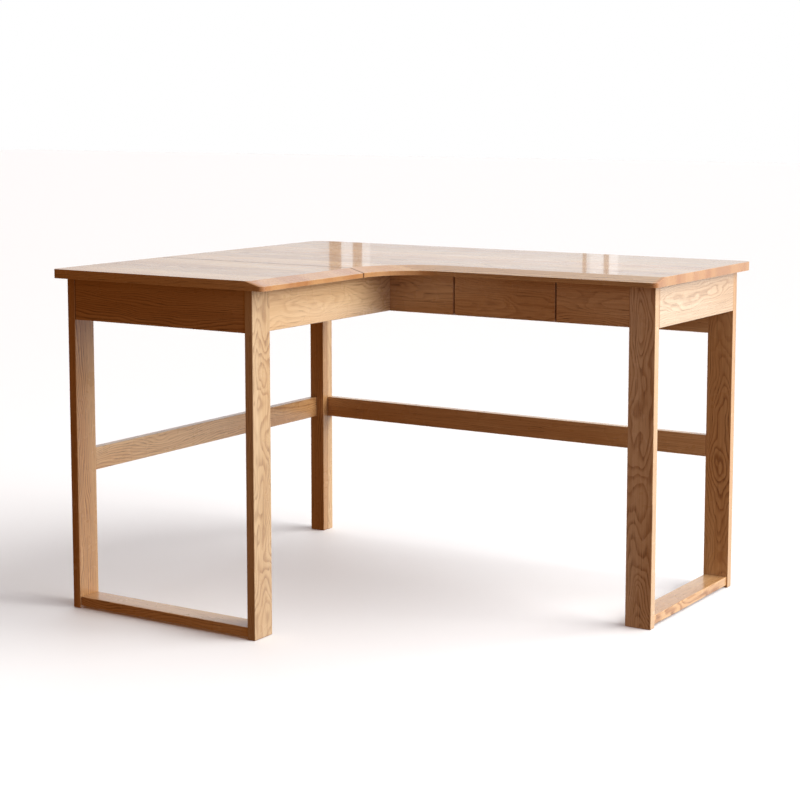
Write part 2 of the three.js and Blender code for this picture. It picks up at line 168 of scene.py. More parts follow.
# Noise between the first two numbers becomes a share between the last two.
HEAVY_RINGS = (0.38, 0.62, 0.45, 1.0)
PALE_TINT = (0.35, 0.68, 0.0, 0.5)
HEART_TINT = (0.58, 0.40, 0.0, 0.25)
DARK_STRANDS = (0.35, 0.66, 0.0, 0.36)
END_PORES = (0.50, 0.66, 0.0, 0.55)
END_BLOCKS = (0.38, 0.62, 0.0, 0.35)
# The most that each feature takes from the colour beneath it.
EARLY_SHARE = 0.95
RAY_SHARE = 0.25
PORE_SHARE = 0.62
END_GRAIN_SHARE = 0.72

GRAIN_INPUTS = {"Vector": "Vector", "Seed": "Float", "Pith": "Vector", "Wave": "Float"}
GRAIN_OUTPUTS = {"Color": "Color", "Pores": "Float", "Rings": "Float"}


def grain_sockets(group):
    for name, kind in GRAIN_INPUTS.items():
        group.interface.new_socket(name, in_out="INPUT", socket_type=f"NodeSocket{kind}")
    for name, kind in GRAIN_OUTPUTS.items():
        group.interface.new_socket(name, in_out="OUTPUT", socket_type=f"NodeSocket{kind}")


def ring_bend(t, place, cycles, reach):
    """Noise about zero, in metres."""
    return t.math("MULTIPLY", t.math("SUBTRACT", t.noise(place, cycles), 0.5), reach)


def early_wood(t, place, given):
    """1 in the porous wood that starts each growth ring, 0 in the dense wood that ends it. The rings
    run about a pith line beside the board and are bent by noise."""
    slow, medium, quick = (ring_bend(t, place, *bend) for bend in RING_BENDS)
    wander = t.math("ADD", t.math("ADD", slow, medium), quick)
    wander = t.math("MULTIPLY", wander, given["Wave"])
    parts = t.split(t.vectors("SUBTRACT", given["Vector"], given["Pith"]))
    across = t.math("MULTIPLY", parts[1], parts[1])
    through = t.math("MULTIPLY", parts[2], parts[2])
    radius = t.math("ADD", t.math("SQRT", t.math("ADD", across, through)), wander)
    ring = t.add("ShaderNodeCombineXYZ", {0: radius, 1: given["Seed"]}).outputs[0]
    uneven = t.math("MULTIPLY", t.noise(ring, UNEVEN_CYCLES), UNEVEN_RINGS)
    phase = t.math("FRACT", t.math("ADD", t.math("MULTIPLY", radius, RINGS_PER_METRE), uneven))
    early = t.remap(phase, 0.0, EARLY_ENDS, 1.0, 0.0, smooth=True)
    early = t.math("MAXIMUM", early, t.remap(phase, EARLY_BEGINS, 1.0, smooth=True))
    heavy = t.remap(t.noise(ring, HEAVY_CYCLES), *HEAVY_RINGS)
    return t.math("MULTIPLY", early, heavy)


def oak_group():
    """The grain of one oak board, as a node group: growth rings, rows of open pores along them, rays
    across them, and slow changes of tint."""
    group = bpy.data.node_groups.new("oak_grain", "ShaderNodeTree")
    grain_sockets(group)
    t = Tree(group)
    given = t.add("NodeGroupInput").outputs
    shift = t.add("ShaderNodeCombineXYZ", {
        axis: t.math("MULTIPLY", given["Seed"], step) for axis, step in enumerate(SEED_SHIFT)
    }).outputs[0]
    place = t.vectors("ADD", given["Vector"], shift)
    early = early_wood(t, place, given)

    # pores are short dark streaks along the grain, crowded in the early wood
    streak = t.noise(place, STREAK_CYCLES, detail=2.0, roughness=0.6)
    limit = t.remap(early, 0.0, 1.0, *PORE_LIMITS)
    pores = t.remap(t.math("SUBTRACT", streak, limit), 0.0, PORE_SOFTNESS, smooth=True)
    strand = t.noise(place, STRAND_CYCLES, detail=3.0, roughness=0.65)
    rays = t.remap(t.noise(place, RAY_CYCLES), *BRIGHT_RAYS, smooth=True)
    tint = t.noise(place, TINT_CYCLES, detail=2.0)

    base = t.mix(t.math("MULTIPLY", early, EARLY_SHARE), (*LATEWOOD, 1), (*EARLYWOOD, 1))
    base = t.mix(t.remap(tint, *PALE_TINT), base, (*PALE_WOOD, 1))
    base = t.mix(t.remap(tint, *HEART_TINT), base, (*HEARTWOOD, 1))
    base = t.mix(t.remap(strand, *DARK_STRANDS), base, (*EARLYWOOD, 1))
    base = t.mix(t.math("MULTIPLY", rays, RAY_SHARE), base, (*PALE_WOOD, 1))
    base = t.mix(t.math("MULTIPLY", pores, PORE_SHARE), base, (*PORE, 1))
    t.add("NodeGroupOutput", {"Color": base, "Pores": pores, "Rings": early})
    return group


OAK = oak_group()


# Counting the boards of a top starts this far beside it, so that every number is positive.
STAVE_START = 10.0
STAVE_SEED_STEP = 37.0
PITH_SCATTER = 0.09
PITH_DEPTH = 0.60
PITH_DEPTH_SCATTER = 0.06
SHADE_RANGE = (0.80, 1.10)
# From just inside a board to its joint, in shares of its width, and how dark the joint is.
JOINT_LINE = (0.494, 0.5, 0.0, 0.4)


def staves(t, place, seed, width):
    """Splits a glued-up top into boards: each has its own seed, pith line and shade, and a thin joint."""
    counted = t.math("DIVIDE", t.math("ADD", t.split(place)[1], STAVE_START), width)
    index = t.math("FLOOR", counted)
    number = t.math("ADD", index, seed)
    chance = t.add("ShaderNodeTexWhiteNoise", {"W": number}, noise_dimensions="1D").outputs
    middle = t.math("SUBTRACT", t.math("MULTIPLY", t.math("ADD", index, 0.5), width), STAVE_START)
    aside = t.math("MULTIPLY", t.math("SUBTRACT", chance["Value"], 0.5), PITH_SCATTER)
    depth = t.split(chance["Color"])[1]
    pith = t.add("ShaderNodeCombineXYZ", {
        1: t.math("ADD", middle, aside),
        2: t.math("ADD", t.math("MULTIPLY", depth, PITH_DEPTH_SCATTER), PITH_DEPTH),
    }).outputs[0]
    shade = t.remap(chance["Value"], 0.0, 1.0, *SHADE_RANGE)
    from_joint = t.math("ABSOLUTE", t.math("SUBTRACT", t.math("FRACT", counted), 0.5))
    joint = t.remap(from_joint, *JOINT_LINE)
    return t.math("MULTIPLY", chance["Value"], STAVE_SEED_STEP), pith, shade, joint


def end_grain(t, place, facing_end, colour):
    """Cut across the grain the wood is darker and pinker, with fine pores."""
    spots = t.noise(place, END_PORE_CYCLES, detail=2.0, roughness=0.6)
    blocks = t.noise(place, BLOCK_CYCLES)
    cut_face = t.mix(t.remap(spots, *END_PORES), (*END_GRAIN, 1), (*PORE, 1))
    cut_face = t.mix(t.remap(blocks, *END_BLOCKS), cut_face, (*LATEWOOD, 1))
    return t.mix(t.math("MULTIPLY", facing_end, END_GRAIN_SHARE), colour, cut_face)


def turned(t, vector, turn):
    """A vector after a turn."""
    node = t.add("ShaderNodeMapping", {"Vector": vector}, vector_type="POINT")
    node.inputs["Rotation"].default_value = turn
    return node.outputs[0]


# How dark the painted seam shade is at two distances from the middle of the seam.
SEAM_SHADOW = (3.0 * MM, 6.5 * MM, 0.7, 0.0)
# How far the rounded-edge test reaches, for the paler wear and painted highlight along the edges.
WEAR_AND_HIGHLIGHT_REACH = 1.2 * MM
# From the cosine where an edge begins to the cosine of a full one, and how pale that is: partly wear,
# partly a painted highlight.
EDGE_WEAR_AND_HIGHLIGHT = (0.985, 0.9, 0.0, 0.45)
BEVEL_SAMPLES = 4


def seam_shadow(t, place, seam, colour):
    """Along the joint between the two tops, at Y = seam, the colour is darker: painted shade of the gap and
    its rounded arrises.
    """
    from_seam = t.math("ABSOLUTE", t.math("SUBTRACT", t.split(place)[1], seam))
    return t.mix(t.remap(from_seam, *SEAM_SHADOW), colour, (*PORE, 1))


def worn_and_highlit_edges(t, colour):
    """The colour is paler along the edges: partly wear of the lacquer, partly a painted highlight on the
    rounded arrises.
    """
    rounded = t.add("ShaderNodeBevel", {"Radius": WEAR_AND_HIGHLIGHT_REACH}, samples=BEVEL_SAMPLES).outputs[0]
    flat = t.add("ShaderNodeNewGeometry").outputs["Normal"]
    edge = t.remap(t.vectors("DOT_PRODUCT", rounded, flat), *EDGE_WEAR_AND_HIGHLIGHT)
    return t.mix(edge, colour, (*PALE_WOOD, 1))


# Smudge noise between the first two numbers becomes a roughness between the last two.
LACQUER_ROUGHNESS = (0.3, 0.7, 0.24, 0.32)
BARE_ROUGHNESS = (0.3, 0.7, 0.50, 0.62)
PORE_ROUGHNESS = 0.16
SMUDGE_CYCLES = 14.0
# The share of the surface's normal along the grain, from none to all of the end grain's colour.
FACING_END = (0.08, 0.26)
RING_HEIGHT = 0.15
BOARD_BUMP = 0.16
TOP_BUMP = 0.06
BUMP_DEPTH = 0.1 * MM
WOOD_IOR = 1.48
COAT_IOR = 1.5
# Weight and roughness of the clear coat.
TOP_COAT = (0.5, 0.06)
BOARD_COAT = (0.35, 0.12)
NO_COAT = (0.0, 0.12)


def wood_shader(t, colour, grain, smudge, roughness, strength, coat):
    """The surface of finished wood. The pores are sunken and rough."""
    pores = grain.outputs["Pores"]
    rough = t.math("ADD", t.remap(smudge, *roughness), t.math("MULTIPLY", pores, PORE_ROUGHNESS))
    rings = t.math("MULTIPLY", grain.outputs["Rings"], RING_HEIGHT)
    sunken = t.math("MULTIPLY", t.math("ADD", pores, rings), -1.0)
    bump = t.add("ShaderNodeBump", {"Height": sunken, "Strength": strength, "Distance": BUMP_DEPTH})
    return t.add("ShaderNodeBsdfPrincipled", {
        "Base Color": colour,
        "Roughness": rough,
        "Normal": bump.outputs[0],
        "IOR": WOOD_IOR,
        "Coat Weight": coat[0],
        "Coat Roughness": coat[1],
        "Coat IOR": COAT_IOR,
    })


def oak_material(name, turn, seed, wave, tone, pith=(0.0, 0.0, 0.0), calm=0.0,
                 stave=None, seam=None, lacquer=True):
    """Oak. Turn brings the grain onto X and the broad face's normal onto Z. Tone multiplies the colour,
    and calm evens out the figure. Stave is the width of the boards that a glued-up top is made from,
    and seam is the Y of the joint between the two tops."""
    material, t = new_material(name)
    source = t.add("ShaderNodeTexCoord").outputs
    place = turned(t, source["Object"], turn)
    board_seed, pith_place = seed, pith
    if stave:
        board_seed, pith_place, shade, joint = staves(t, place, seed, stave)
    grain = t.add("ShaderNodeGroup", {}, node_tree=OAK)
    t.feed(grain.inputs["Vector"], place)
    t.feed(grain.inputs["Seed"], board_seed)
    t.feed(grain.inputs["Pith"], pith_place)
    t.feed(grain.inputs["Wave"], wave)
    colour = grain.outputs["Color"]
    if calm:
        colour = t.mix(calm, colour, (*MEAN_WOOD, 1))
    if stave:
        grey = t.add("ShaderNodeCombineColor", {0: shade, 1: shade, 2: shade}).outputs[0]
        colour = t.mix(1.0, colour, grey, "MULTIPLY")
        colour = t.mix(joint, colour, (*PORE, 1))
    # painted shade along the seam between the two tops
    if seam is not None:
        colour = seam_shadow(t, source["Object"], seam, colour)
    lengthwise = t.split(turned(t, source["Normal"], turn))[0]
    facing_end = t.remap(t.math("ABSOLUTE", lengthwise), *FACING_END, smooth=True)
    colour = end_grain(t, place, facing_end, colour)
    # multiplies by the board's tone, which on some boards is painted light or painted shade
    colour = t.mix(1.0, colour, (*tone, 1), "MULTIPLY")
    # paler edges: partly wear, partly a painted highlight
    colour = worn_and_highlit_edges(t, colour)

    smudge = t.noise(source["Object"], SMUDGE_CYCLES, detail=3.0, roughness=0.6)
    roughness = LACQUER_ROUGHNESS if lacquer else BARE_ROUGHNESS
    strength = TOP_BUMP if stave else BOARD_BUMP
    coat = NO_COAT
    if lacquer:
        coat = TOP_COAT if stave else BOARD_COAT
    shader = wood_shader(t, colour, grain, smudge, roughness, strength, coat)
    t.add("ShaderNodeOutputMaterial", {"Surface": shader.outputs[0]})
    return material


# ---- boards: the grain's axis, the axis the broad face looks along, how it was sawn, its tone ----------
AXES = {"x": Vector((1, 0, 0)), "y": Vector((0, 1, 0)), "z": Vector((0, 0, 1))}
# How far the pith line lies beside the middle of the board: across it and below it, in metres.
FLAT_SAWN = (0.008, 0.06)
RIFT_SAWN = (0.06, 0.07)
QUARTER_SAWN = (0.12, 0.02)
# Painted light: these three tones make the right frame's front leg, the end apron and the inner apron paler
# and creamier, standing in for the strong light from the right.
PAINTED_LIGHT_CREAM_TONE = (1.07, 1.22, 1.50)
PAINTED_LIGHT_END_TONE = (0.98, 1.16, 1.58)
PAINTED_LIGHT_INNER_TONE = (0.98, 1.07, 1.22)
LEG_TONE = (0.86, 0.94, 1.06)
TOP_TONE = (1.0, 0.98, 0.90)
HONEY_TONE = (0.97, 0.97, 0.97)
# Painted shade: makes the left frame's front boards darker and browner, as if the light fell off away from
# the right.
PAINTED_SHADE_TONE = (0.86, 0.78, 0.68)
BOARDS = {
    "left_frame_outer_leg": ("z", "x", RIFT_SAWN, PAINTED_SHADE_TONE),
    "left_frame_inner_leg": ("z", "x", FLAT_SAWN, LEG_TONE),
    "right_frame_front_leg": ("z", "y", FLAT_SAWN, PAINTED_LIGHT_CREAM_TONE),
    "right_frame_back_leg": ("z", "y", FLAT_SAWN, EVEN_TONE),
    "corner_leg_front_half": ("z", "y", RIFT_SAWN, PAINTED_SHADE_TONE),
    "corner_leg_back_half": ("z", "y", QUARTER_SAWN, EVEN_TONE),
    "return_front_apron": ("x", "y", RIFT_SAWN, PAINTED_SHADE_TONE),
    "left_foot_rail": ("x", "z", RIFT_SAWN, EVEN_TONE),
    "right_end_apron": ("y", "x", FLAT_SAWN, PAINTED_LIGHT_END_TONE),
    "right_foot_rail": ("y", "z", QUARTER_SAWN, EVEN_TONE),
    "left_side_apron": ("y", "x", RIFT_SAWN, EVEN_TONE),
    "return_inner_apron": ("y", "x", FLAT_SAWN, PAINTED_LIGHT_INNER_TONE),
    "back_apron": ("x", "y", FLAT_SAWN, EVEN_TONE),
    "front_apron_left": ("x", "y", FLAT_SAWN, HONEY_TONE),
    "front_apron_right": ("x", "y", FLAT_SAWN, EVEN_TONE),
    "left_stretcher": ("y", "x", RIFT_SAWN, EVEN_TONE),
    "back_stretcher": ("x", "y", QUARTER_SAWN, EVEN_TONE),
    "drawer_front": ("x", "y", FLAT_SAWN, HONEY_TONE),
}
HIDDEN_BOARDS = {
    "front_top_rail": ("x", "z", QUARTER_SAWN, EVEN_TONE),
    "corner_cross_rail": ("x", "y", RIFT_SAWN, EVEN_TONE),
    "seam_batten": ("x", "z", QUARTER_SAWN, EVEN_TONE),
    "drawer_bearer_left": ("y", "x", RIFT_SAWN, EVEN_TONE),
    "drawer_bearer_right": ("y", "x", RIFT_SAWN, EVEN_TONE),
    "drawer_left_side": ("y", "x", QUARTER_SAWN, EVEN_TONE),
    "drawer_right_side": ("y", "x", QUARTER_SAWN, EVEN_TONE),
    "drawer_box_front": ("x", "y", QUARTER_SAWN, EVEN_TONE),
    "drawer_back": ("x", "y", QUARTER_SAWN, EVEN_TONE),
}
CALM_BOARDS = {"right_end_apron": 0.35, "return_inner_apron": 0.25, "left_frame_inner_leg": 0.2}
TOPS = ("main_top", "return_top")
STAVE_WIDTH = 0.078
TOP_WAVE = 0.35
FLAT_WAVE = 1.0
QUIET_WAVE = 0.7
# The seed of the first board and the step to the next one.
BOARD_SEEDS = (3.1, 2.37)
HIDDEN_SEEDS = (71.0, 1.93)
TOP_SEEDS = (11.0, 5)
LACQUERED_ARRIS = 1.6 * MM
HIDDEN_ARRIS = 0.8 * MM
TOP_ARRIS = 2.2 * MM
TOP_ARRIS_ANGLE = 12.5
WELD_DISTANCE = 0.01 * MM
FLAT_ANGLE = 1


def grain_turn(grain, normal):
    """The turn that brings the grain onto X and the broad face's normal onto Z."""
    along, up = AXES[grain], AXES[normal]
    return Matrix((along, up.cross(along), up)).to_euler()


def middle_of(name):
    low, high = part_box(name)
    return (low + high) / 2


def only_material(obj, material):
    obj.data.materials.clear()
    obj.data.materials.append(material)


def round_arrises(obj, width, angle=30, segments=3):
    """Merges the imported faces into whole ones and rounds their edges."""
    weld = obj.modifiers.new("weld", "WELD")
    weld.merge_threshold = WELD_DISTANCE
    flat = obj.modifiers.new("flat_faces", "DECIMATE")
    flat.decimate_type = "DISSOLVE"
    flat.angle_limit = math.radians(FLAT_ANGLE)
    bevel = obj.modifiers.new("arris", "BEVEL")
    bevel.width = width
    bevel.segments = segments
    bevel.limit_method = "ANGLE"
    bevel.angle_limit = math.radians(angle)
    bevel.use_clamp_overlap = True


def finish_board(name, seed, grain, normal, cut, tone, lacquer):
    obj = nodes[name]
    turn = grain_turn(grain, normal)
    pith = turn.to_matrix() @ middle_of(name) + Vector((0, cut[0], -cut[1]))
    wave = FLAT_WAVE if cut is FLAT_SAWN else QUIET_WAVE
    calm = CALM_BOARDS.get(name, 0.0)
    only_material(obj, oak_material(f"oak_{name}", turn, seed, wave, tone, pith, calm, lacquer=lacquer))
    round_arrises(obj, LACQUERED_ARRIS if lacquer else HIDDEN_ARRIS)


def nth_seed(seeds, number):
    first, step = seeds
    return first + step * number


for number, (board, cutting) in enumerate(BOARDS.items()):
    finish_board(board, nth_seed(BOARD_SEEDS, number), *cutting, lacquer=True)
for number, (board, cutting) in enumerate(HIDDEN_BOARDS.items()):
    finish_board(board, nth_seed(HIDDEN_SEEDS, number), *cutting, lacquer=False)
SEAM_Y = (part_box("return_top")[1].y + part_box("main_top")[0].y) / 2
for number, board in enumerate(TOPS):
    top_oak = oak_material(f"oak_{board}", grain_turn("x", "z"), nth_seed(TOP_SEEDS, number),
                           TOP_WAVE, TOP_TONE, stave=STAVE_WIDTH, seam=SEAM_Y)
    only_material(nodes[board], top_oak)
    round_arrises(nodes[board], TOP_ARRIS, angle=TOP_ARRIS_ANGLE)


# ---- plywood and steel -----------------------------------------------------------------------------
PLY_FIGURE_CYCLES = (60.0, 5.0, 60.0)
PLY_FLECK_CYCLES = (700.0, 60.0, 700.0)
PLY_PALE = srgb(226, 202, 160)
PLY_DARK = srgb(206, 174, 128)
PLY_FLECK = srgb(168, 128, 84)
PLY_FIGURE = (0.3, 0.7)
PLY_FLECKS = (0.62, 0.7)
FLECK_SHARE = 0.4
PLY_ROUGHNESS = 0.6
PLY_BUMP = 0.2
ZINC_CLOUD_CYCLES = 60.0
ZINC_SCRATCH_CYCLES = (900.0, 30.0, 900.0)
ZINC_BRIGHT = srgb(190, 194, 198)
ZINC_DULL = srgb(160, 166, 172)
ZINC_CLOUDS = (0.35, 0.65)
ZINC_ROUGHNESS = (0.3, 0.7, 0.26, 0.40)
SCRATCH_ROUGHNESS = 0.1
SCRATCH_BUMP = 0.15
SCRATCH_DEPTH = 0.05 * MM
PLY_ARRIS = 0.4 * MM
STEEL_ARRIS = 0.35 * MM


def plywood_material():
    material, t = new_material("birch_plywood")
    place = t.add("ShaderNodeTexCoord").outputs["Object"]
    figure = t.noise(place, PLY_FIGURE_CYCLES, detail=4.0, roughness=0.6, distortion=0.8)
    fleck = t.remap(t.noise(place, PLY_FLECK_CYCLES), *PLY_FLECKS)
    colour = t.mix(t.remap(figure, *PLY_FIGURE), (*PLY_PALE, 1), (*PLY_DARK, 1))
    colour = t.mix(t.math("MULTIPLY", fleck, FLECK_SHARE), colour, (*PLY_FLECK, 1))
    bump = t.add("ShaderNodeBump", {"Height": figure, "Strength": PLY_BUMP, "Distance": BUMP_DEPTH})
    shader = t.add("ShaderNodeBsdfPrincipled", {
        "Base Color": colour,
        "Roughness": PLY_ROUGHNESS,
        "Normal": bump.outputs[0],
    })
    t.add("ShaderNodeOutputMaterial", {"Surface": shader.outputs[0]})
    return material


def zinc_material():
    material, t = new_material("zinc_plated_steel")
    place = t.add("ShaderNodeTexCoord").outputs["Object"]
    cloud = t.noise(place, ZINC_CLOUD_CYCLES, detail=4.0, roughness=0.6)
    scratch = t.noise(place, ZINC_SCRATCH_CYCLES, detail=2.0)
    colour = t.mix(t.remap(cloud, *ZINC_CLOUDS), (*ZINC_BRIGHT, 1), (*ZINC_DULL, 1))
    scratched = t.math("MULTIPLY", scratch, SCRATCH_ROUGHNESS)
    rough = t.math("ADD", t.remap(cloud, *ZINC_ROUGHNESS), scratched)
    bump = t.add("ShaderNodeBump", {"Height": scratch, "Strength": SCRATCH_BUMP, "Distance": SCRATCH_DEPTH})
    shader = t.add("ShaderNodeBsdfPrincipled", {
        "Base Color": colour,
        "Metallic": 1.0,
        "Roughness": rough,
        "Normal": bump.outputs[0],
    })
    t.add("ShaderNodeOutputMaterial", {"Surface": shader.outputs[0]})
    return material


ZINC = zinc_material()
only_material(nodes["drawer_bottom"], plywood_material())
round_arrises(nodes["drawer_bottom"], PLY_ARRIS)
STEEL_WORDS = ("_member", "bracket", "screw")
for name, node in nodes.items():
    if any(word in name for word in STEEL_WORDS):
        only_material(node, ZINC)
        if "screw" not in name:
            round_arrises(node, STEEL_ARRIS, segments=2)


# ---- steel details -----------------------------------------------------------------------------------
# Screw heads are outlines of (radius, height) in shares of the head's own; the cross is in shares too.
SCREW_SIDES = 24
CROSS_ARM = 0.17
CROSS_REACH = 0.52
PAN_HEAD = ((1.0, 0.0), (1.0, 0.28), (0.95, 0.55), (0.82, 0.82), (0.66, 0.97))
FLAT_HEAD = ((1.0, 0.0), (1.0, 0.45), (0.93, 0.80), (0.80, 0.97), (0.66, 1.0))
SCREW_POINT = 3.0 * MM
SCREW_TIP_SHARE = 0.15
RECESS_FLOOR = 0.3
RECESS_TAPER = 0.78
DESK_HEAD_RADIUS = 4.0 * MM
DESK_HEAD_HEIGHT = 2.2 * MM
DESK_SHANK = 1.9 * MM


def ring_of(bm, radius, height, count):
    ring = []
    for step in range(count):
        angle = 2 * math.pi * step / count
        ring.append(bm.verts.new((radius * math.cos(angle), radius * math.sin(angle), height)))
    return ring


def join_rings(bm, low, high):
    for step in range(len(low)):
        after = (step + 1) % len(low)
        bm.faces.new((low[step], low[after], high[after], high[step]))


def cross_ring(bm, radius, height, size=1.0):
    """The outline of a cross recess, anticlockwise from its right arm."""
    arm, reach = CROSS_ARM * radius * size, CROSS_REACH * radius * size
    corners = []
    for quarter in range(4):
        turn = Matrix.Rotation(quarter * math.pi / 2, 3, "Z")
        for x, y in ((reach, -arm), (reach, arm), (arm, arm)):
            corners.append(bm.verts.new(turn @ Vector((x, y, height))))
    return corners


def ring_edges(bm, ring):
    pairs = zip(ring, ring[1:] + ring[:1])
    return [bm.edges.get(pair) or bm.edges.new(pair) for pair in pairs]


def screw_mesh(name, radius, height, profile, shank, length):
    """A cross-recess screw with its head's underside at the origin, its head up and its shank down."""
    bm = bmesh.new()
    rings = [ring_of(bm, SCREW_TIP_SHARE * shank, -length, SCREW_SIDES)]
    if length > SCREW_POINT:
        rings.append(ring_of(bm, shank, SCREW_POINT - length, SCREW_SIDES))
    rings.append(ring_of(bm, shank, 0.0, SCREW_SIDES))
    for wide, high in profile:
        rings.append(ring_of(bm, wide * radius, high * height, SCREW_SIDES))
    bm.faces.new(list(reversed(rings[0])))
    for low, high in zip(rings, rings[1:]):
        join_rings(bm, low, high)
    rim = cross_ring(bm, radius, height)
    pit = cross_ring(bm, radius, RECESS_FLOOR * height, RECESS_TAPER)
    join_rings(bm, pit, rim)
    bm.faces.new(pit)
    bmesh.ops.bridge_loops(bm, edges=ring_edges(bm, rings[-1]) + ring_edges(bm, rim))
    bmesh.ops.triangulate(bm, faces=[face for face in bm.faces if len(face.verts) > 4])
    bmesh.ops.recalc_face_normals(bm, faces=bm.faces)
    mesh = bpy.data.meshes.new(name)
    bm.to_mesh(mesh)
    bm.free()
    mesh.materials.append(ZINC)
    return mesh


# Radius and height of the head, its outline, and radius and length of the shank.
BATTEN_SCREW = screw_mesh("batten_screw", DESK_HEAD_RADIUS, DESK_HEAD_HEIGHT, PAN_HEAD, DESK_SHANK, 32 * MM)
FRONT_SCREW = screw_mesh("front_screw", DESK_HEAD_RADIUS, DESK_HEAD_HEIGHT, PAN_HEAD, DESK_SHANK, 25 * MM)
BRACKET_SCREW = screw_mesh("bracket_screw", 3.6 * MM, 1.9 * MM, PAN_HEAD, 1.7 * MM, 2.4 * MM)
SLIDE_SCREW = screw_mesh("slide_screw", 3.0 * MM, 0.9 * MM, FLAT_HEAD, 1.4 * MM, 1.1 * MM)


def place_steel(name, mesh, body, point, out):
    """Puts a steel piece at a point with its head looking out."""
    piece = bpy.data.objects.new(name, mesh)
    piece.location = point
    piece.rotation_mode = "QUATERNION"
    piece.rotation_quaternion = Vector(out).to_track_quat("Z", "Y")
    bpy.context.scene.collection.objects.link(piece)
    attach(piece, body)
    return piece


def fine_screws():
    """Screws with a cross recess in place of the plain ones of the CAD model."""
    for name in sorted(nodes):
        low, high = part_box(name)
        middle = (low + high) / 2
        if name.startswith("seam_batten_screw"):
            point = (middle.x, middle.y, low.z + DESK_HEAD_HEIGHT)
            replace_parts(place_steel(f"fine_{name}", BATTEN_SCREW, "desk", point, (0, 0, -1)), name)
        elif name.startswith("drawer_front_screw"):
            point = (middle.x, high.y - DESK_HEAD_HEIGHT, middle.z)
            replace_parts(place_steel(f"fine_{name}", FRONT_SCREW, "drawer", point, (0, 1, 0)), name)


BRACKET_STEEL = 2.5 * MM
FOOT_BAND = 0.1 * MM


def bracket_facing(name):
    """The way a bracket's apron leg looks: from the apron leg towards the free end of the other leg."""
    points = [vertex.co for vertex in nodes[name].data.vertices]
    lowest = min(point.z for point in points)
    foot = [point for point in points if point.z < lowest + FOOT_BAND]
    away = middle_of(name) - sum(foot, Vector()) / len(foot)
    if abs(away.x) > abs(away.y):
        return Vector((math.copysign(1, away.x), 0, 0))
    return Vector((0, math.copysign(1, away.y), 0))


def bracket_screws():
    """Two short screws in each angle bracket: one towards the apron, one up into the top."""
    for name in sorted(nodes):
        if not name.startswith("top_bracket"):
            continue
        low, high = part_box(name)
        middle = (low + high) / 2
        arm = high.z - low.z
        seat = (arm + BRACKET_STEEL) / 2
        facing = bracket_facing(name)
        wall = middle - facing * arm / 2
        on_apron = wall + facing * BRACKET_STEEL
        on_apron.z = high.z - seat
        under_top = wall + facing * seat
        under_top.z = high.z - BRACKET_STEEL
        place_steel(f"{name}_apron_screw", BRACKET_SCREW, "desk", on_apron, facing)
        place_steel(f"{name}_top_screw", BRACKET_SCREW, "desk", under_top, (0, 0, -1))


SLIDE_STEEL = 1.2 * MM
BALL_RADIUS = 1.5 * MM
BALL_PITCH = 12 * MM
BALLS_IN_ROW = 10
END_GAP = 12 * MM
# The cage around a row of balls, in ball radii: width, thickness and how much longer it is than the row.
CAGE_WIDTH = 2.2
CAGE_THICKNESS = 0.5
CAGE_EXTRA = 2.5
# How far the ball rows stand off the bearer's face.
OUTER_ROW_DISTANCE = 6.5 * MM
INNER_ROW_DISTANCE = 8.0 * MM
SLIDE_SCREW_PLACES = (0.1, 0.5, 0.9)


def ball_row(name, body, start):
    """Steel balls in a strip of cage that runs towards +Y."""
    bm = bmesh.new()
    for number in range(BALLS_IN_ROW):
        turn = Matrix.Translation((0, number * BALL_PITCH, 0))
        bmesh.ops.create_icosphere(bm, subdivisions=2, radius=BALL_RADIUS, matrix=turn)
    length = (BALLS_IN_ROW - 1) * BALL_PITCH + CAGE_EXTRA * BALL_RADIUS
    size = Matrix.Diagonal((CAGE_WIDTH * BALL_RADIUS, length, CAGE_THICKNESS * BALL_RADIUS, 1))
    centre = Matrix.Translation((0, (BALLS_IN_ROW - 1) * BALL_PITCH / 2, 0))
    bmesh.ops.create_cube(bm, size=1, matrix=centre @ size)
    # the balls are smooth, the strip is flat
    for face in bm.faces:
        face.smooth = len(face.verts) == 3
    mesh = bpy.data.meshes.new(name)
    bm.to_mesh(mesh)
    bm.free()
    mesh.materials.append(ZINC)
    row = bpy.data.objects.new(name, mesh)
    row.location = start
    bpy.context.scene.collection.objects.link(row)
    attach(row, body)


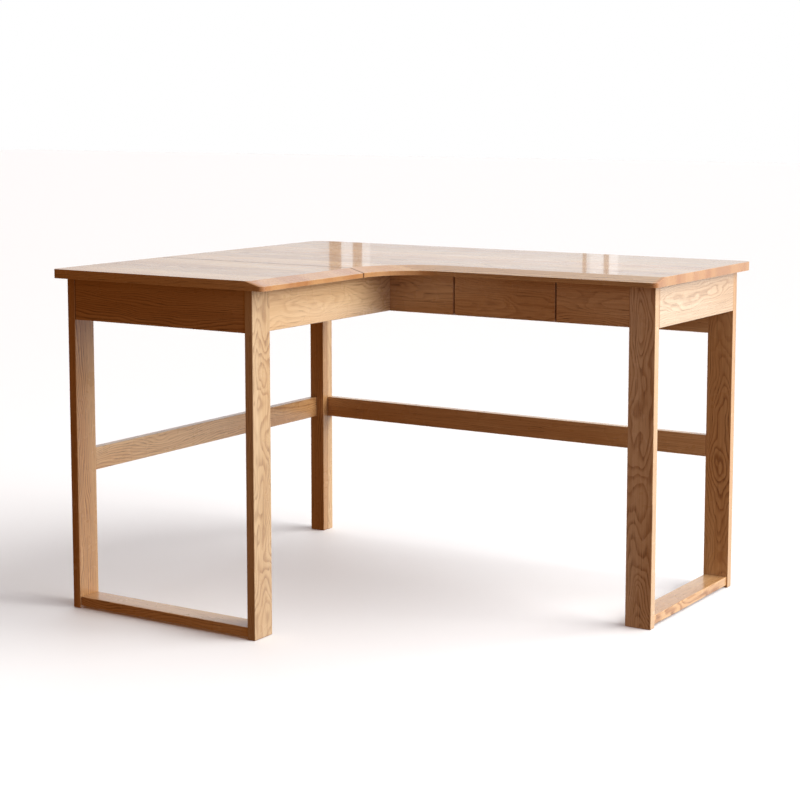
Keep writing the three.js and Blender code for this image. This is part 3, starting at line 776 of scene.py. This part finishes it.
def slide_details(side, outward):
    """Ball rows and fixing screws of one slide. Outward is the way from the drawer to the bearer."""
    cabinet_low, cabinet_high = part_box(f"{side}_slide_cabinet_member")
    middle_low, middle_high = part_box(f"{side}_slide_middle_member")
    drawer_low, drawer_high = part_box(f"{side}_slide_drawer_member")
    reach = (BALLS_IN_ROW - 1) * BALL_PITCH
    back = cabinet_high.y - END_GAP - reach
    front = cabinet_low.y + END_GAP
    body = f"{side}_slide_middle"
    bearer = cabinet_high.x if outward > 0 else cabinet_low.x
    box_face = drawer_low.x if outward > 0 else drawer_high.x
    x_outer = bearer - outward * OUTER_ROW_DISTANCE
    x_inner = bearer - outward * INNER_ROW_DISTANCE
    outer_low = (cabinet_low.z + SLIDE_STEEL + middle_low.z) / 2
    outer_high = (cabinet_high.z - SLIDE_STEEL + middle_high.z) / 2
    inner_low = (middle_low.z + SLIDE_STEEL + drawer_low.z) / 2
    inner_high = (middle_high.z - SLIDE_STEEL + drawer_high.z) / 2
    ball_row(f"{side}_outer_lower_balls", body, (x_outer, back, outer_low))
    ball_row(f"{side}_outer_upper_balls", body, (x_outer, back, outer_high))
    ball_row(f"{side}_inner_lower_balls", body, (x_inner, front, inner_low))
    ball_row(f"{side}_inner_upper_balls", body, (x_inner, front, inner_high))
    height = (cabinet_low.z + cabinet_high.z) / 2
    span = cabinet_high.y - cabinet_low.y
    for number, share in enumerate(SLIDE_SCREW_PLACES, 1):
        y = cabinet_low.y + share * span
        on_web = (bearer - outward * SLIDE_STEEL, y, height)
        place_steel(f"{side}_cabinet_slide_screw_{number}", SLIDE_SCREW, "desk", on_web, (-outward, 0, 0))
        on_box = (box_face + outward * SLIDE_STEEL, y, height)
        place_steel(f"{side}_drawer_slide_screw_{number}", SLIDE_SCREW, "drawer", on_box, (outward, 0, 0))


fine_screws()
bracket_screws()
slide_details("left", -1)
slide_details("right", 1)


# ---- stage, lights and camera ----------------------------------------------------------------------
FLOOR_REACH = 30.0
FLOOR_DROP = 0.5 * MM
FLOOR_WHITE = (0.93, 0.925, 0.92)
FLOOR_ROUGHNESS = 0.6
CAMERA_PLACE = (2.2119, -3.5092, 1.1056)
# Degrees left of +Y and above level.
CAMERA_YAW = 32.52
CAMERA_PITCH = -6.58
# Lens and sensor in millimetres, the shift in sensor widths, the far end in metres.
CAMERA_LENS = 84.49
SENSOR_WIDTH = 36.0
CAMERA_SHIFT = -0.10
FAR_END = 100.0


def plain_material(name, colour, roughness):
    material, t = new_material(name)
    shader = t.add("ShaderNodeBsdfPrincipled", {"Base Color": (*colour, 1), "Roughness": roughness})
    t.add("ShaderNodeOutputMaterial", {"Surface": shader.outputs[0]})
    return material


def studio_floor():
    mesh = bpy.data.meshes.new("studio_floor")
    corners = [(-FLOOR_REACH, -FLOOR_REACH, 0), (FLOOR_REACH, -FLOOR_REACH, 0),
               (FLOOR_REACH, FLOOR_REACH, 0), (-FLOOR_REACH, FLOOR_REACH, 0)]
    mesh.from_pydata(corners, [], [(0, 1, 2, 3)])
    floor = bpy.data.objects.new("studio_floor", mesh)
    bpy.context.scene.collection.objects.link(floor)
    only_material(floor, plain_material("pale_floor", FLOOR_WHITE, FLOOR_ROUGHNESS))
    floor.location.z = -FLOOR_DROP
    floor.visible_diffuse = False
    floor.visible_glossy = False


def softbox(name, place, target, size, power, colour=(1, 1, 1)):
    light = bpy.data.lights.new(name, "AREA")
    light.shape = "RECTANGLE"
    light.size, light.size_y = size
    light.energy = power
    light.color = colour
    lamp = bpy.data.objects.new(name, light)
    lamp.location = place
    lamp.rotation_mode = "QUATERNION"
    lamp.rotation_quaternion = (Vector(target) - Vector(place)).to_track_quat("-Z", "Y")
    bpy.context.scene.collection.objects.link(lamp)
    return lamp


WINDOW_SIDE = Vector((0.30, 0.80, 0.50)).normalized()
WARM_BOUNCE = (0.195, 0.078, 0.016)
WINDOW_GLOW = (0.92, 0.95, 1.0)
BACKDROP = (1.0, 1.0, 1.0)
# Share of the window side's glow: none below the first cosine to that side, all above the second.
GLOW_EDGE = (-0.05, 0.66)


def studio_world():
    """Bright towards the window side (right, back and above), a dim warm bounce from the rest."""
    world = bpy.data.worlds.new("studio")
    world.use_nodes = True
    world.node_tree.nodes.clear()
    t = Tree(world.node_tree)
    direction = t.add("ShaderNodeTexCoord").outputs["Generated"]
    towards = t.vectors("DOT_PRODUCT", direction, WINDOW_SIDE)
    share = t.remap(towards, *GLOW_EDGE, smooth=True)
    colour = t.mix(share, (*WARM_BOUNCE, 1), (*WINDOW_GLOW, 1))
    seen = t.add("ShaderNodeLightPath").outputs["Is Camera Ray"]
    colour = t.mix(seen, colour, (*BACKDROP, 1))
    sky = t.add("ShaderNodeBackground", {"Color": colour, "Strength": 1.0})
    t.add("ShaderNodeOutputWorld", {"Surface": sky.outputs[0]})
    bpy.context.scene.world = world


def sunlight(name, towards, strength, softness, colour):
    light = bpy.data.lights.new(name, "SUN")
    light.energy = strength
    light.angle = math.radians(softness)
    light.color = colour
    lamp = bpy.data.objects.new(name, light)
    lamp.rotation_mode = "QUATERNION"
    lamp.rotation_quaternion = Vector(towards).to_track_quat("-Z", "Y")
    bpy.context.scene.collection.objects.link(lamp)


# Tall bright panes and brown bars of windows behind the desk, which the lacquered top mirrors: the way to
# each, in degrees left of +Y as seen from the camera's place, its width in metres and a pane's brightness.
PANES = ((34.15, 0.041, 0.22), (33.56, 0.030, 0.26), (26.53, 0.048, 0.25), (26.02, 0.034, 0.38))
BARS = ((34.50, 0.045), (33.82, 0.034), (26.89, 0.015), (26.23, 0.019))
BAR_BROWN = (0.85, 0.66, 0.50)
BAR_ROUGHNESS = 0.8
STRIP_DISTANCE = 7.0
STRIP_LOW, STRIP_HIGH = 0.80, 2.2


def strip_place(azimuth):
    """The middle of a tall strip behind the desk, and the way to it from the camera's place."""
    angle = math.radians(azimuth)
    away = Vector((-math.sin(angle), math.cos(angle), 0))
    start = Vector((CAMERA_PLACE[0], CAMERA_PLACE[1], (STRIP_LOW + STRIP_HIGH) / 2))
    return start + away * STRIP_DISTANCE, away


def window_pane(name, azimuth, width, brightness):
    place, away = strip_place(azimuth)
    tall = STRIP_HIGH - STRIP_LOW
    power = brightness * math.pi * width * tall
    softbox(name, place, place - away, (width, tall), power).visible_camera = False


def window_bar(name, azimuth, width, material):
    """A brown upright card that only shows in reflections."""
    place, away = strip_place(azimuth)
    side = away.cross(Vector((0, 0, 1))) * width / 2
    rise = Vector((0, 0, (STRIP_HIGH - STRIP_LOW) / 2))
    corners = [place - side - rise, place + side - rise, place + side + rise, place - side + rise]
    mesh = bpy.data.meshes.new(name)
    mesh.from_pydata(corners, [], [(0, 1, 2, 3)])
    card = bpy.data.objects.new(name, mesh)
    bpy.context.scene.collection.objects.link(card)
    only_material(card, material)
    card.visible_camera = False
    card.visible_diffuse = False
    card.visible_shadow = False


def studio_light():
    studio_world()
    sunlight("soft_sun", towards=(-0.70, -0.30, -0.62), strength=2.6, softness=55,
             colour=(1.0, 0.985, 0.97))
    key = softbox("key_right", place=(3.6, 0.5, 1.3), target=(0.2, 0.1, 0.40), size=(1.6, 1.6),
                  power=70, colour=(1.0, 0.98, 0.95))
    key.visible_glossy = False
    fill = softbox("fill_right", place=(1.6, -1.0, 0.9), target=(0.5, 0.05, 0.4), size=(0.9, 0.9),
                   power=5.0, colour=(0.66, 0.76, 1.0))
    fill.visible_camera = False
    fill.visible_glossy = False
    for number, pane in enumerate(PANES, 1):
        window_pane(f"window_pane_{number}", *pane)
    brown = plain_material("window_bar", BAR_BROWN, BAR_ROUGHNESS)
    for number, bar in enumerate(BARS, 1):
        window_bar(f"window_bar_{number}", *bar, brown)
    bpy.context.scene.view_settings.view_transform = "Standard"


def studio_camera():
    data = bpy.data.cameras.new("camera")
    data.lens = CAMERA_LENS
    data.sensor_width = SENSOR_WIDTH
    data.shift_y = CAMERA_SHIFT
    data.clip_end = FAR_END
    camera = bpy.data.objects.new("camera", data)
    camera.location = CAMERA_PLACE
    yaw, pitch = math.radians(CAMERA_YAW), math.radians(CAMERA_PITCH)
    ahead = Vector((-math.sin(yaw) * math.cos(pitch), math.cos(yaw) * math.cos(pitch), math.sin(pitch)))
    camera.rotation_mode = "QUATERNION"
    camera.rotation_quaternion = ahead.to_track_quat("-Z", "Y")
    bpy.context.scene.collection.objects.link(camera)
    bpy.context.scene.camera = camera


studio_floor()
studio_light()
studio_camera()
